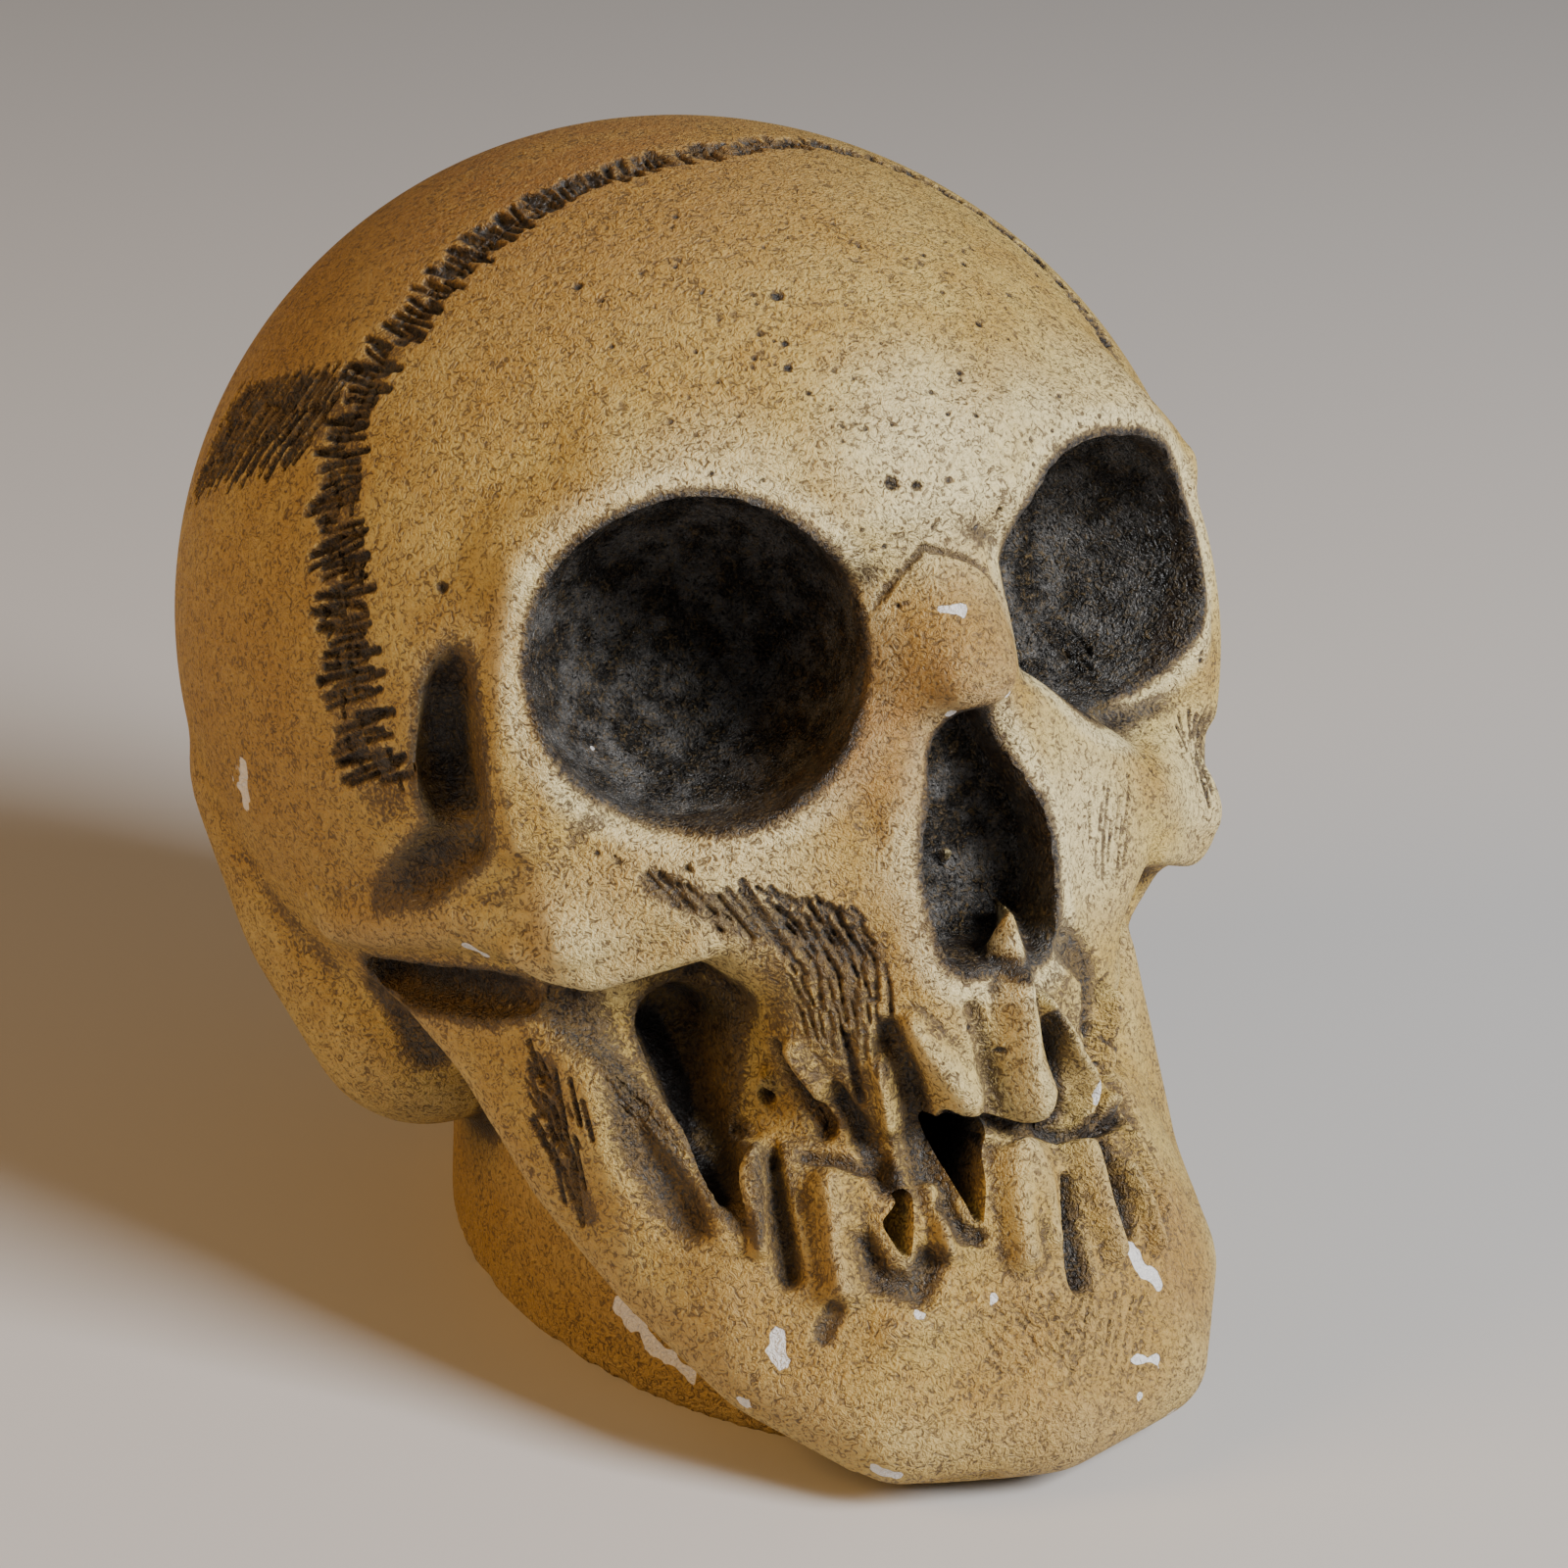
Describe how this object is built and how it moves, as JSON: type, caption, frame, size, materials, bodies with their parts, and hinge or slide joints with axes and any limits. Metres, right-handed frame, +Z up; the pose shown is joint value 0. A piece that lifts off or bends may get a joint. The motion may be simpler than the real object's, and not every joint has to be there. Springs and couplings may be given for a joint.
{
  "type": "ornamental skull",
  "caption": "Hollow painted ornamental skull with deep eye sockets, open nose, worn teeth and a joined jaw, standing on an oval neck foot.",
  "frame": {"origin": "middle of the base, on the surface that the skull stands on; centred under the whole skull", "axes": "+Z up, the face looks to -Y, +X is the skull's own left side"},
  "size_m": [0.117, 0.1532, 0.13],
  "materials": {
    "cream_clay": "papier-mache with a gesso skin, painted cream to ochre, dark wash rubbed into the hollows, semi-matte",
    "warm_clay": "the same skin with a warmer orange-brown ochre paint, semi-matte",
    "soot": "black paint with a slight gloss over the rough inside of the sockets"
  },
  "bodies": {
    "root": {"rear_shell": "warm_clay", "face_shell": "cream_clay", "right_eye_cup": "soot", "left_eye_cup": "soot", "nose_cup": "soot", "nose_bridge": "warm_clay", "right_cheek_arch": "cream_clay", "left_cheek_arch": "cream_clay", "lower_jaw": "cream_clay", "upper_teeth": "cream_clay", "lower_teeth": "cream_clay", "neck_foot": "warm_clay"}
  },
  "joints": []
}
